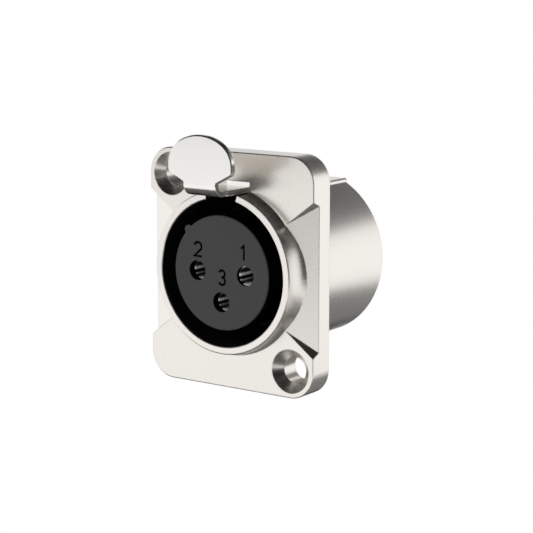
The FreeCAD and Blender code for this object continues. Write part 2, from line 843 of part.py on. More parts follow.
def make_assembly_screw():
    screw = body("assembly_screw")
    head_end = head_seat + size["assembly_head_height"]
    thread, head = size["assembly_thread_radius"], size["assembly_head_radius"]
    sketch = top_sketch(screw, "profile")
    outline(sketch, (0, screw_tip), (thread, screw_tip), (thread, head_seat), (head, head_seat),
            (head, head_end), (0, head_end))
    turned(screw, sketch)
    half = size["driver_slot_width"] / 2
    sketch = side_sketch(screw, "driver_slot")
    rectangle(sketch, head_end - size["driver_slot_depth"], head_end + CLEAR, -half, half)
    cut(screw, sketch, head * 3, both_ways=True)
    return screw


def turn_to_earth_side(piece):
    """Turns a piece about the socket's axis, from the bottom to the earth strip's side."""
    piece.Placement.Rotation = FreeCAD.Rotation(FreeCAD.Vector(0, -1, 0), QUARTER_TURN)
    bind(piece, "Placement.Rotation.Angle", size["earth_angle"])


def make_retaining_ring():
    """The snap ring in the barrel's rear groove, open where the earth strip passes."""
    ring = body("retaining_ring")
    spare = (size["ring_groove_width"] - size["ring_thickness"]) / 2
    sketch = front_sketch(ring, "profile", insulator_back + spare)
    circle(sketch, (0, 0), ring_outer_radius)
    circle(sketch, (0, 0), ring_inner_radius)
    pad(ring, sketch, size["ring_thickness"], backwards=True)
    start = insulator_back + spare - CLEAR
    length = size["ring_thickness"] + CLEAR * 2
    half = size["ring_gap_half_width"]
    sketch = front_sketch(ring, "gap", start)
    rectangle(sketch, -half, half, -ring_outer_radius - CLEAR, -ring_inner_radius / 2)
    cut(ring, sketch, length)
    middle = (ring_outer_radius + ring_inner_radius) / 2
    eye_x = half + size["ring_eye_radius"] * 2
    eye_z = -root(middle * middle - eye_x * eye_x)
    sketch = front_sketch(ring, "eyes", start)
    for x in (eye_x, -eye_x):
        circle(sketch, (x, eye_z), size["ring_eye_radius"])
    cut(ring, sketch, length)
    turn_to_earth_side(ring)
    return ring


def make_earth_strip():
    """The earth strip: a bowed spring in the socket's gap and a solder tag at the rear."""
    strip = body("earth_strip")
    front, bow = size["earth_front"], size["earth_bow"]
    flat_end = socket_end - CLEAR
    rise = (flat_end - front) / 3
    crest = (front + rise, flat_end - rise)
    sketch = side_sketch(strip, "profile")
    outline(sketch, (front, earth_outer_z), (crest[0], earth_outer_z + bow),
            (crest[1], earth_outer_z + bow), (flat_end, earth_outer_z),
            (earth_end, earth_outer_z), (earth_end, earth_inner_z),
            (flat_end, earth_inner_z), (crest[1], earth_inner_z + bow),
            (crest[0], earth_inner_z + bow), (front, earth_inner_z))
    pad(strip, sketch, size["earth_width"], both_ways=True)
    sketch = top_sketch(strip, "eye")
    circle(sketch, (0, earth_end - size["earth_width"] / 2), size["earth_eye_radius"])
    cut(strip, sketch, socket_radius * 3, both_ways=True)
    turn_to_earth_side(strip)
    return strip


def make_latch_lever():
    """The bent sheet lever: finger plate, bend, floor, hook, and two ears on the pin."""
    lever = body("latch_lever")
    sheet_t, half = size["sheet_thickness"], size["lever_half_width"]
    bend = (plate_front_y + size["lever_bend_radius"], lever_under + size["lever_bend_radius"])
    back_y = plate_front_y + sheet_t
    end = lever_floor_end
    sketch = side_sketch(lever, "sheet")
    outline(sketch, (end, lever_under), (bend[0], lever_under),
            Arc((plate_front_y, bend[1]), bend, False),
            (plate_front_y, plate_neck_z), (back_y, plate_neck_z),
            (back_y, bend[1]), Arc((bend[0], lever_top), bend, True), (end, lever_top))
    pad(lever, sketch, half * 2, both_ways=True)
    sketch = front_sketch(lever, "plate", back_y)
    plate_outline(sketch, bend[1])
    plate = pad(lever, sketch, sheet_t)
    front_edge = lambda edge: (lies_at(edge, "Y", plate_front_y)
                               and edge.CenterOfMass.z > plain(plate_neck_z) + NEAR)
    bevelled(lever, plate, front_edge, size["plate_edge_width"])
    for name, x in (("right_ear", half - sheet_t), ("left_ear", -half)):
        sketch = side_sketch(lever, name, x)
        ear_outline(sketch)
        pad(lever, sketch, sheet_t)
    sketch = side_sketch(lever, "hook")
    outline(sketch, (-size["hook_front"], lever_under),
            (size["hook_back"] - size["hook_tip_length"], hook_tip),
            (size["hook_back"], hook_tip), (size["hook_back"], lever_under + sheet_t / 2),
            (-size["hook_front"], lever_under + sheet_t / 2))
    pad(lever, sketch, size["hook_half_width"] * 2, both_ways=True)
    sketch = side_sketch(lever, "pin_hole")
    circle(sketch, pin_place, size["pin_radius"] + size["pin_ear_gap"])
    cut(lever, sketch, half * 3, both_ways=True)
    cut_bend_reliefs(lever)
    return lever


def plate_outline(sketch, low_z):
    """The finger plate seen from the front: a crown arc between two shoulder arcs."""
    crown, shoulder = size["plate_crown_radius"], size["plate_shoulder_radius"]
    lean_x, lean_z = cosine(size["plate_shoulder_angle"]), sine(size["plate_shoulder_angle"])
    crown_z = plate_top - crown
    centre_x, centre_z = (crown - shoulder) * lean_x, crown_z + (crown - shoulder) * lean_z
    meet_x, meet_z = crown * lean_x, crown_z + crown * lean_z
    corner_z = plate_corner_z
    drop = centre_z - corner_z
    corner_x = centre_x + root(shoulder * shoulder - drop * drop)
    half, neck_z = size["lever_half_width"], plate_neck_z
    outline(sketch, (half, low_z), (half, neck_z), (corner_x, corner_z),
            Arc((meet_x, meet_z), (centre_x, centre_z), True),
            Arc((-meet_x, meet_z), (0, crown_z), True),
            Arc((-corner_x, corner_z), (-centre_x, centre_z), True),
            (-half, neck_z), (-half, low_z))


def ear_outline(sketch):
    y, z = pin_place
    radius = size["ear_radius"]
    outline(sketch, (ear_start, lever_top), (ear_start, lever_under),
            (y, z - radius), Arc((y, z + radius), pin_place, True),
            (lever_floor_end, lever_top))


def cut_bend_reliefs(lever):
    """Two small notches in the lever's sides, just behind the bend."""
    half = size["lever_half_width"]
    inner = half - size["relief_depth"]
    front = -size["relief_start"]
    for name, low, high in (("right_relief", inner, half + CLEAR), ("left_relief", -half - CLEAR, -inner)):
        sketch = top_sketch(lever, name, lever_top + CLEAR)
        rectangle(sketch, low, high, front, front + size["relief_length"])
        cut(lever, sketch, size["sheet_thickness"] + CLEAR * 2)


def make_latch_pin():
    """The plain pin that the lever turns on, held in two open seats."""
    pin = doc.addObject("Part::Cylinder", "latch_pin")
    pin.Label = "latch_pin"
    pin.Placement.Rotation = FreeCAD.Rotation(FreeCAD.Vector(0, 1, 0), QUARTER_TURN)
    bind(pin, "Radius", size["pin_radius"])
    bind(pin, "Height", size["pin_length"])
    bind(pin, "Placement.Base.x", -size["pin_length"] / 2)
    bind(pin, "Placement.Base.y", pin_y)
    bind(pin, "Placement.Base.z", pin_place[1])
    return pin


def set_spring_on_pin(spring, width):
    """Lays the spring's own axis along the pin, with its legs at the top."""
    up, forward, across = (0, 0, 1), (0, -1, 0), (1, 0, 0)
    axes = [FreeCAD.Vector(*axis) for axis in (up, forward, across)]
    spring.Placement.Rotation = FreeCAD.Rotation(*axes, "XYZ")
    bind(spring, "Placement.Base.x", -width / 2)
    bind(spring, "Placement.Base.y", pin_y)
    bind(spring, "Placement.Base.z", pin_place[1])


def spring_line(name, start, end):
    line = doc.addObject("Part::Line", name)
    for number, point in (("1", start), ("2", end)):
        for letter, place in zip("XYZ", point):
            bind(line, letter + number, place)
    return line


def make_latch_spring():
    """A torsion spring round the pin: one leg on the lever's floor, one on the block."""
    wire = size["spring_wire_radius"]
    mean = size["pin_radius"] + size["spring_pin_gap"] + wire
    rise, pitch = size["spring_rise"], wire * 2 + size["spring_coil_gap"]
    coiled = pitch * (size["spring_turns"] - rise / FULL_TURN)
    helix = doc.addObject("Part::Helix", "spring_helix")
    bind(helix, "Pitch", pitch)
    bind(helix, "Height", coiled)
    bind(helix, "Radius", mean)
    rear_end = -size["spring_rear_leg"]
    rear_leg = spring_line("spring_rear_leg", (mean, rear_end, 0), (mean, 0, 0))
    reach = size["spring_front_leg"]
    coil_end = (mean * cosine(rise), -mean * sine(rise), coiled)
    leg_end = (coil_end[0] + reach * sine(rise), coil_end[1] + reach * cosine(rise), coiled)
    front_leg = spring_line("spring_front_leg", coil_end, leg_end)
    spine = doc.addObject("Part::Compound", "spring_spine")
    spine.Links = [rear_leg, helix, front_leg]
    section = doc.addObject("Part::RegularPolygon", "spring_section")
    section.Placement.Rotation = FreeCAD.Rotation(FreeCAD.Vector(1, 0, 0), QUARTER_TURN)
    bind(section, "Polygon", size["spring_wire_sides"])
    bind(section, "Circumradius", wire)
    bind(section, "Placement.Base.x", mean)
    bind(section, "Placement.Base.y", rear_end)
    spring = doc.addObject("Part::Sweep", "latch_spring")
    spring.Label = "latch_spring"
    spring.Sections = [section]
    spring.Spine = (spine, ["Edge1", "Edge2", "Edge3"])
    spring.Solid = True
    spring.Frenet = True
    spring.Transition = "Transformed"
    set_spring_on_pin(spring, pitch * size["spring_turns"])
    return spring


def check_and_write(piece):
    """Stops on a broken piece, or writes it to its own file."""
    faults = [state for state in piece.State if state in ("Invalid", "Error")]
    if faults or piece.Shape.isNull() or not piece.Shape.isValid():
        raise RuntimeError("broken piece " + piece.Label)
    piece.Shape.exportStep("parts/%s.step" % piece.Label)
    print(piece.Label, "%.2f mm3" % piece.Shape.Volume)


pieces = [make_shell(), make_insert_face(), make_front_insulator(), make_rear_insulator()]
for number in contact_places:
    pieces += [make_contact(number), make_contact_sleeve(number)]
pieces += [make_assembly_screw(), make_retaining_ring(), make_earth_strip()]
pieces += [make_latch_lever(), make_latch_pin(), make_latch_spring()]
doc.recompute()
for feature in doc.Objects:
    if "Invalid" in feature.State or "Error" in feature.State:
        raise RuntimeError("broken feature " + feature.Name)
os.makedirs("parts", exist_ok=True)
for piece in pieces:
    check_and_write(piece)
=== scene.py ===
# %% [markdown]
# # A panel socket with a latch, in Blender
#
# The object is a three-pole socket that sits in the wall of an audio box. A cast flange with a
# raised collar is screwed to the panel, a barrel goes through it, and a bent latch with a round
# finger plate stands over the top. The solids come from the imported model, already at their
# real size, so this lesson is about the light, the finishes and the small signs.

# %% Load the solids
import math

import bmesh
import bpy
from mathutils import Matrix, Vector


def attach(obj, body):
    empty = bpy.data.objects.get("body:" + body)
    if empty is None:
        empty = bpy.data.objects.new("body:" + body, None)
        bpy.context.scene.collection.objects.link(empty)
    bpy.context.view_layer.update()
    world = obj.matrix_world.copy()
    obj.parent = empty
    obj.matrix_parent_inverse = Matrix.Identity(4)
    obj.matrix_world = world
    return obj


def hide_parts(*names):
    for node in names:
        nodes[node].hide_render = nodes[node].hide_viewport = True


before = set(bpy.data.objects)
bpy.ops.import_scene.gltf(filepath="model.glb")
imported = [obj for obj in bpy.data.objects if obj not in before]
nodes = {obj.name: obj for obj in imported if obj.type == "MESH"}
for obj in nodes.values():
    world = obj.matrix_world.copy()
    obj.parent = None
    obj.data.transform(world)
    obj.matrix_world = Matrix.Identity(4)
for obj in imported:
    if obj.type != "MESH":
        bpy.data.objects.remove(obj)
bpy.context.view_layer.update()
print("pieces loaded:", ", ".join(sorted(nodes)))

# %% [markdown]
# ## Units and colours
#
# Blender measures in metres, while a small metal part is easier to think of in millimetres.
# Colours are picked as sRGB hex values, as a paint program shows them, but a shader adds up
# light, so it wants linear values. One function does that change for every colour below.

# %% Millimetres and hex colours
MM = 0.001


def mm(x, y, z):
    """A place given in millimetres, as a vector in metres."""
    return Vector((x, y, z)) * MM


def linear(hex_colour):
    """An sRGB colour such as "#E6E1DA" as linear red, green, blue and alpha."""
    channels = [int(hex_colour[i:i + 2], 16) / 255 for i in (1, 3, 5)]
    return [c / 12.92 if c <= 0.04045 else ((c + 0.055) / 1.055) ** 2.4 for c in channels] + [1.0]


print("mid grey #808080 is", round(linear("#808080")[0], 3), "in linear light")

# %% [markdown]
# ## The camera
#
# A camera can be placed by eye, but here it was fitted to known points of the flange, the collar
# and the contacts. It stands to the right of the socket's axis and a little above it, about
# 220 mm away. A long lens keeps the flange's far side almost as large as its near side.

# %% Camera
SIDE_ANGLE = math.radians(35.376)
HEIGHT_ANGLE = math.radians(10.31)
CAMERA_DISTANCE = 220.307 * MM
CAMERA_AIM = mm(3.239, 0, 0.403)
LENS_MM = 114.74
SENSOR_MM = 36.0

level = math.cos(HEIGHT_ANGLE)
towards_camera = Vector((math.sin(SIDE_ANGLE) * level, -math.cos(SIDE_ANGLE) * level,
                         math.sin(HEIGHT_ANGLE)))
camera_data = bpy.data.cameras.new("camera")
camera_data.lens = LENS_MM
camera_data.sensor_width = SENSOR_MM
camera_data.clip_start = 1 * MM
camera = bpy.data.objects.new("camera", camera_data)
camera.location = CAMERA_AIM + towards_camera * CAMERA_DISTANCE
camera.rotation_euler = (-towards_camera).to_track_quat("-Z", "Y").to_euler()
bpy.context.scene.collection.objects.link(camera)
bpy.context.scene.camera = camera
print("camera at", [round(c / MM, 1) for c in camera.location], "mm")

# %% [markdown]
# ## Adding shader nodes
#
# Materials and the world are small graphs of nodes. This helper adds one node, sets its options
# and fills its inputs: an input that is given another node's output gets a link, and any other
# value is written on the socket itself.

# %% One helper for nodes
def add(tree, kind, inputs=None, **options):
    """A new node of a kind, with its options set and its inputs linked or filled."""
    node = tree.nodes.new("ShaderNode" + kind)
    for name, value in options.items():
        setattr(node, name, value)
    for name, value in (inputs or {}).items():
        if isinstance(value, bpy.types.NodeSocket):
            tree.links.new(value, node.inputs[name])
        else:
            node.inputs[name].default_value = value
    return node


def new_material(name):
    """An empty node material, with its output node."""
    material = bpy.data.materials.new(name)
    material.use_nodes = True
    material.node_tree.nodes.clear()
    return material, add(material.node_tree, "OutputMaterial")


print("helpers ready")

# %% [markdown]
# ## The studio
#
# Metal has no look of its own: it shows what stands around it. A white surround makes nickel
# bright and soft. It could be a picture of a room, but a plain world is easier to steer. What
# the camera or a reflection sees of it is pure white, and the light that it sheds is weaker, so
# that the pale plate doesn't burn out.

# %% World and view
WORLD_LIGHT = 0.75

scene = bpy.context.scene
scene.view_settings.view_transform = "Standard"
world = bpy.data.worlds.new("white_studio")
world.use_nodes = True
tree = world.node_tree
tree.nodes.clear()
path = add(tree, "LightPath")
seen = add(tree, "Math", {0: path.outputs["Is Camera Ray"], 1: path.outputs["Is Glossy Ray"]},
           operation="MAXIMUM")
seen = add(tree, "Math", {0: seen.outputs[0], 1: path.outputs["Is Transmission Ray"]},
           operation="MAXIMUM")
strength = add(tree, "MapRange", {"Value": seen.outputs[0], "To Min": WORLD_LIGHT, "To Max": 1.0})
white = add(tree, "Background", {"Color": linear("#FFFFFF"), "Strength": strength.outputs[0]})
add(tree, "OutputWorld", {"Surface": white.outputs[0]})
scene.world = world
print("world lights at", WORLD_LIGHT, "and looks white")

# %% [markdown]
# The paper under the socket catches its shadow, and looks white to the camera and in reflections.

# %% Floor
FLOOR_DROP_MM = 80
FLOOR_WIDTH_MM = 3000
DOWN, UP = Vector((0, 0, -1)), Vector((0, 0, 1))


def plane(name, size, centre, facing, material):
    """A flat card of a size in mm, square to the direction it faces."""
    x, y = size[0] / 2 * MM, size[1] / 2 * MM
    mesh = bpy.data.meshes.new(name)
    mesh.from_pydata([(-x, -y, 0), (x, -y, 0), (x, y, 0), (-x, y, 0)], [], [(0, 1, 2, 3)])
    card = bpy.data.objects.new(name, mesh)
    card.location = centre
    card.rotation_euler = facing.to_track_quat("Z", "Y").to_euler()
    mesh.materials.append(material)
    bpy.context.scene.collection.objects.link(card)
    return card


floor_paper, output = new_material("white_paper_floor")
tree = floor_paper.node_tree
path = add(tree, "LightPath")
paper = add(tree, "BsdfDiffuse", {"Color": linear("#F4F4F4")})
glow = add(tree, "Emission", {"Color": linear("#FFFFFF"), "Strength": 1.0})
seen = add(tree, "Math", {0: path.outputs["Is Camera Ray"], 1: path.outputs["Is Glossy Ray"]},
           operation="MAXIMUM")
mixed = add(tree, "MixShader", {"Fac": seen.outputs[0], 1: paper.outputs[0], 2: glow.outputs[0]})
tree.links.new(mixed.outputs[0], output.inputs["Surface"])
plane("floor", (FLOOR_WIDTH_MM, FLOOR_WIDTH_MM), mm(0, 0, -FLOOR_DROP_MM), UP, floor_paper)
print("floor", FLOOR_DROP_MM, "mm below the socket's axis")

# %% [markdown]
# Dark and grey cards above, below and beside the socket draw the bands along the barrel and
# round the collar, as black flags do in a photographer's studio. Each card shows one even tone,
# and each draws one band that can be moved alone. Only reflections see the cards: the camera
# doesn't, and they cast no shadow.

# %% Cards
def card_material(name, colour):
    """Card that shows one even tone, whatever light falls on it."""
    material, output = new_material(name)
    tone = add(material.node_tree, "Emission", {"Color": linear(colour), "Strength": 1.0})
    material.node_tree.links.new(tone.outputs[0], output.inputs["Surface"])
    return material


# Each card's name, size in mm, centre, tone, and the way it faces if that isn't to the socket
cards = (("ceiling_card", (360, 360), mm(0, 0, 150), "#161616", DOWN),
         ("ceiling_border_card", (740, 740), mm(0, 0, 151), "#6C6C6C", DOWN),
         ("low_front_card", (220, 90), mm(0, -45, -75), "#585858", UP),
         ("low_left_card", (85, 150), mm(-62, 75, -75), "#262626", UP),
         ("low_back_card", (150, 150), mm(55, 75, -75), "#7A7A7A", UP),
         ("front_card", (160, 160), mm(0, -400, -70), "#A0A0A0", None),
         ("left_card", (200, 150), mm(-230, -330, 70), "#606060", None),
         ("right_card", (400, 300), mm(216, -125, 0), "#161616", None))
for name, size, place, colour, facing in cards:
    card = plane(name, size, place, facing or -place, card_material(name, colour))
    card.visible_camera = False
    card.visible_diffuse = False
    card.visible_shadow = False
print("cards:", len(cards))

# %% [markdown]
# Two wide, weak lamps add a soft direction to the light. Reflections don't show them, because a
# lamp's square would look like a window on the plate.

# %% Lamps
# Each lamp's name, place in mm, power in watts and width in mm
lamps = (("key_lamp", (-260, -420, 260), 3.0, 260),
         ("side_lamp", (420, 60, 80), 1.2, 220))
for name, place, watts, width in lamps:
    lamp_data = bpy.data.lights.new(name, "AREA")
    lamp_data.energy = watts
    lamp_data.size = width * MM
    lamp = bpy.data.objects.new(name, lamp_data)
    lamp.location = mm(*place)
    lamp.rotation_euler = (-lamp.location).to_track_quat("-Z", "Y").to_euler()
    lamp.visible_glossy = False
    scene.collection.objects.link(lamp)
    print(name, "gives", watts, "W")

# %% [markdown]
# ## Nickel, silver and steel
#
# All the metals share one recipe: a fully metallic surface, a fine grain that varies the
# roughness and a very shallow bump. The grain could come from a picture, but a noise that
# follows the place in the object needs no unwrapping. The colour is the plate's own tint and the
# roughness tells the polish. Edges on real castings are never sharp, so the shader also rounds
# them a little, which draws a thin line of light along each one.

# %% One recipe for metal
ROUGHNESS_SPREAD = 0.02
# How many times wider than high a grain is
GRAIN_FLATNESS = 10
EDGE_SAMPLES = 4


def metal(name, colour, roughness, grain_mm, grain, edge_mm=0.0):
    """A plated metal, with grains of a width in mm and edges rounded by a radius in mm."""
    material, output = new_material(name)
    tree = material.node_tree
    place = add(tree, "TexCoord").outputs["Object"]
    speckle = add(tree, "TexNoise", {"Vector": place, "Scale": 1 / (grain_mm * MM), "Detail": 2.0})
    rough = add(tree, "MapRange", {"Value": speckle.outputs["Fac"],
                                   "To Min": roughness - ROUGHNESS_SPREAD,
                                   "To Max": roughness + ROUGHNESS_SPREAD})
    bump = add(tree, "Bump", {"Height": speckle.outputs["Fac"], "Strength": grain,
                              "Distance": grain_mm * MM / GRAIN_FLATNESS})
    if edge_mm:
        edge = add(tree, "Bevel", {"Radius": edge_mm * MM}, samples=EDGE_SAMPLES)
        tree.links.new(edge.outputs[0], bump.inputs["Normal"])
    surface = add(tree, "BsdfPrincipled", {"Base Color": linear(colour), "Metallic": 1.0,
                                           "Roughness": rough.outputs[0],
                                           "Normal": bump.outputs[0]})
    tree.links.new(surface.outputs[0], output.inputs["Surface"])
    return material


# The picture has about 8 pixels to a millimetre, so the grains of all five metals are drawn 0.18
# to 0.3 mm wide: the real ones are too fine to show.
# Nickel over a bead-blasted casting: a warm white that spreads its highlights softly
satin_nickel = metal("satin_nickel_on_zinc", "#F5F1EB", 0.28, grain_mm=0.18, grain=0.1,
                     edge_mm=0.18)
# Nickel over rolled steel, polished: clear reflections with hardly any grain
polished_nickel = metal("polished_nickel_on_steel", "#F7F5F2", 0.2, grain_mm=0.3, grain=0.03,
                        edge_mm=0.14)
# Silver over turned brass: a neutral bright tube
silver = metal("silver_plated_brass", "#E4E2DE", 0.3, grain_mm=0.2, grain=0.1)
# Zinc over steel wire and sheet: a slightly blue grey
spring_steel = metal("zinc_plated_steel", "#BFC1C2", 0.3, grain_mm=0.2, grain=0.1)
# Tin over bronze: a dull yellow grey
tinned_bronze = metal("tinned_bronze", "#C9C2B2", 0.3, grain_mm=0.2, grain=0.1)
for material in (satin_nickel, polished_nickel, silver, spring_steel, tinned_bronze):
    print("metal:", material.name)

# %% [markdown]
# ## Bands inside the contacts
#
# The plug's pins slide into silver-plated tubes. A real tube shows light and dark bands along its
# wall, which are reflections of the room. As plain metal the tubes come out nearly black in this
# studio, so the bands are painted. In front of the insulators' joint the silver turns mostly
# matt, and a ramp over the height within the bore gives the bands their tones.

# %% Painted bands
# A depth along the barrel in front of the insulators' joint: nothing behind it shows in a bore
BEFORE_JOINT_MM = 8.0
CONTACT_CIRCLE_MM = 3.81
CONTACT_BORE_MM = 1.22
BORE_METALLIC = 0.2
# Tones from the bottom of a bore to its top. The doubled first and last places give the rim
# outside the bore a tone of its own.
BORE_TONES = ((0.0, "#8A8A8A"), (0.0, "#D8D8D8"), (0.1, "#3A3A3A"), (0.14, "#E4E4E4"),
              (0.24, "#E4E4E4"), (0.27, "#080808"), (0.4, "#080808"), (0.44, "#FFFFFF"),
              (0.54, "#FFFFFF"), (0.6, "#2A2A2A"), (0.8, "#1E1E1E"), (0.9, "#8A8A8A"),
              (1.0, "#FFFFFF"), (1.0, "#8A8A8A"))

tree = silver.node_tree
surface = next(node for node in tree.nodes if node.type == "BSDF_PRINCIPLED")
place = add(tree, "SeparateXYZ", {0: add(tree, "TexCoord").outputs["Object"]})
depth, height = place.outputs["Y"], place.outputs["Z"]
in_front = add(tree, "Math", {0: depth, 1: BEFORE_JOINT_MM * MM}, operation="LESS_THAN")
metallic = add(tree, "MapRange", {"Value": in_front.outputs[0], "To Min": 1.0,
                                  "To Max": BORE_METALLIC})
tree.links.new(metallic.outputs[0], surface.inputs["Metallic"])
# Contact 3 lies below the other two, so heights on it are raised to theirs
is_low = add(tree, "Math", {0: height, 1: -CONTACT_CIRCLE_MM / 2 * MM}, operation="LESS_THAN")
raised = add(tree, "Math", {0: is_low.outputs[0], 1: CONTACT_CIRCLE_MM * MM, 2: height},
             operation="MULTIPLY_ADD")
along = add(tree, "MapRange", {"Value": raised.outputs[0], "From Min": -CONTACT_BORE_MM * MM,
                               "From Max": CONTACT_BORE_MM * MM})
bands = add(tree, "ValToRGB", {"Fac": along.outputs[0]})
# A new ramp has one stop at each end already, and a stop added there comes after it
stops = bands.color_ramp.elements
for place, colour in BORE_TONES[1:-2] + BORE_TONES[-1:]:
    stops.new(place)
for stop, (place, colour) in zip(stops, BORE_TONES):
    stop.color = linear(colour)
tint = add(tree, "MixRGB", {"Fac": in_front.outputs[0],
                            "Color1": surface.inputs["Base Color"].default_value[:],
                            "Color2": bands.outputs["Color"]})
tree.links.new(tint.outputs[0], surface.inputs["Base Color"])
print("bands painted in front of y =", BEFORE_JOINT_MM, "mm, with", len(stops), "stops")

# %% [markdown]
# ## Dark nylon and painted shade in the well
#
# The insert is glass-filled nylon, dark grey and matt. Little light reaches the gap round it,
# which takes the plug, so its shade is painted black. One node graph measures how far a point
# lies behind the insert's face, and swaps grey for a painted black shade there, so the cut digits
# and the entries turn black as well.

# %% Plastic with painted shade in its depth
INSERT_FACE_MM = min(corner.co.y for corner in nodes["insert_face"].data.vertices) / MM
# The painted black shade starts this far behind the face, so that the face's small chamfer stays
# grey
FACE_SKIN_MM = 0.12
NYLON_IOR = 1.53
# Black painted as shade in the well, the entries and the cut digits, and on the shell's well wall
SHADE_BLACK = "#040404"
# Glass fibres are about 0.01 mm across and wouldn't show, so the grain is drawn coarser
FIBRE_GRAIN_MM = 0.15
FIBRE_BUMP_MM = 0.01
FIBRE_BUMP = 0.1


def nylon(name, colour, roughness, black_from_mm, black_to_mm):
    """Matt plastic with black painted as shade between two depths along the barrel."""
    material, output = new_material(name)
    tree = material.node_tree
    place = add(tree, "TexCoord").outputs["Object"]
    depth = add(tree, "SeparateXYZ", {0: place}).outputs["Y"]
    past = add(tree, "Math", {0: depth, 1: black_from_mm * MM}, operation="GREATER_THAN")
    before = add(tree, "Math", {0: depth, 1: black_to_mm * MM}, operation="LESS_THAN")
    # Points between the two depths get a painted black shade, and lose their shine there
    inside = add(tree, "Math", {0: past.outputs[0], 1: before.outputs[0]}, operation="MULTIPLY")
    tint = add(tree, "MixRGB", {"Fac": inside.outputs[0], "Color1": linear(colour),
                                "Color2": linear(SHADE_BLACK)})
    speckle = add(tree, "TexNoise", {"Vector": place, "Scale": 1 / (FIBRE_GRAIN_MM * MM),
                                     "Detail": 1.0})
    bump = add(tree, "Bump", {"Height": speckle.outputs["Fac"], "Strength": FIBRE_BUMP,
                              "Distance": FIBRE_BUMP_MM * MM})
    gloss = add(tree, "MapRange", {"Value": inside.outputs[0], "To Min": 0.5, "To Max": 0.0})
    surface = add(tree, "BsdfPrincipled", {"Base Color": tint.outputs[0], "Roughness": roughness,
                                           "IOR": NYLON_IOR,
                                           "Specular IOR Level": gloss.outputs[0],
                                           "Normal": bump.outputs[0]})
    tree.links.new(surface.outputs[0], output.inputs["Surface"])
    return material


# Moulded nylon, dulled by its fibres: an even dark grey with a wide, faint shine
front_nylon = nylon("dark_grey_glass_filled_nylon", "#262626", 0.6,
                    INSERT_FACE_MM + FACE_SKIN_MM, BEFORE_JOINT_MM)
# The same nylon with soot in it: nearly black, a little glossier. The rear insulator lies wholly
# behind the stretch given here, so none of it gets the painted shade.
rear_nylon = nylon("black_glass_filled_nylon", "#1E1E1E", 0.5, -1.0, 0.0)
print("plastics:", front_nylon.name, "and", rear_nylon.name)

# %% [markdown]
# The well's outer wall belongs to the cast shell, and it lies in shade. A black tube there would
# change the imported shape, so the same idea paints the shade: where a point of the shell is closer
# to the axis than the rim, and behind the rim's face, the metal gives way to a painted black shade.

# %% Painted shade inside the shell
WELL_RADIUS_MM = 9.75
WELL_FRONT_MM = -5.4
PAINTED_SHADE_ROUGHNESS = 0.7

tree = satin_nickel.node_tree
bare_metal = next(node for node in tree.nodes if node.type == "BSDF_PRINCIPLED")
output = next(node for node in tree.nodes if node.type == "OUTPUT_MATERIAL")
place = add(tree, "SeparateXYZ", {0: add(tree, "TexCoord").outputs["Object"]})
flat_place = add(tree, "CombineXYZ", {"X": place.outputs["X"], "Y": place.outputs["Z"]})
from_axis = add(tree, "VectorMath", {0: flat_place.outputs[0]}, operation="LENGTH")
near = add(tree, "Math", {0: from_axis.outputs["Value"], 1: WELL_RADIUS_MM * MM},
           operation="LESS_THAN")
behind = add(tree, "Math", {0: place.outputs["Y"], 1: WELL_FRONT_MM * MM},
             operation="GREATER_THAN")
in_well = add(tree, "Math", {0: near.outputs[0], 1: behind.outputs[0]}, operation="MULTIPLY")
# Black painted as shade on the well's wall, in place of the metal
painted_shade = add(tree, "BsdfPrincipled", {"Base Color": linear(SHADE_BLACK), "Roughness": PAINTED_SHADE_ROUGHNESS,
                                      "IOR": NYLON_IOR})
mixed = add(tree, "MixShader", {"Fac": in_well.outputs[0], 1: bare_metal.outputs[0],
                                2: painted_shade.outputs[0]})
tree.links.new(mixed.outputs[0], output.inputs["Surface"])
print("shell lined up to radius", WELL_RADIUS_MM, "mm")

# %% [markdown]
# ## Dressing the pieces
#
# Each solid is one real piece, so each gets one material. The small steel pieces share theirs.

# %% Dress the solids
for names, material in (
        (["shell"], satin_nickel),
        (["latch_lever"], polished_nickel),
        (["insert_face", "front_insulator"], front_nylon),
        (["rear_insulator"], rear_nylon),
        (["contact_1", "contact_2", "contact_3"], silver),
        (["contact_sleeve_1", "contact_sleeve_2", "contact_sleeve_3", "assembly_screw",
          "retaining_ring", "latch_pin", "latch_spring"], spring_steel),
        (["earth_strip"], tinned_bronze)):
    for name in names:
        mesh = nodes[name].data
        mesh.materials.clear()
        mesh.materials.append(material)
    print(material.name, "on", ", ".join(names))

# %% [markdown]
# ## Contact numbers
#
# The mould leaves a thin digit beside each contact, and a smaller one beside each solder cup at
# the back. A text object could make them, but its letters have the font's own widths, while
# these are drawn with one thin stroke. So a digit is made of lines of points: walking along a
# line and stepping sideways by half the stroke gives a ribbon, and pushing the ribbon through the
# face gives a solid.

# %% Strokes for the digits
STROKE_MM = 0.32
ENGRAVING_MM = 0.35
# At a sharp corner a ribbon's sides reach out by half its width over this at most
MITRE_LIMIT = 0.5


def arc(centre, radius, start, end, steps=10):
    """Points on an arc between two angles in degrees."""
    turns = [math.radians(start + (end - start) * i / steps) for i in range(steps + 1)]
    return [(centre[0] + radius * math.cos(t), centre[1] + radius * math.sin(t)) for t in turns]


def digit_strokes():
    """Each digit in a box one high, as lines of points with X to the right."""
    one = [[(0.0, 0.72), (0.24, 0.96), (0.24, 0.0)]]
    two = [arc((0.33, 0.67), 0.3, 165, -32) + [(0.03, 0.03), (0.66, 0.03)]]
    three = [arc((0.3, 0.73), 0.24, 160, -100, 9), arc((0.3, 0.25), 0.26, 100, -160, 10)]
    return {1: one, 2: two, 3: three}


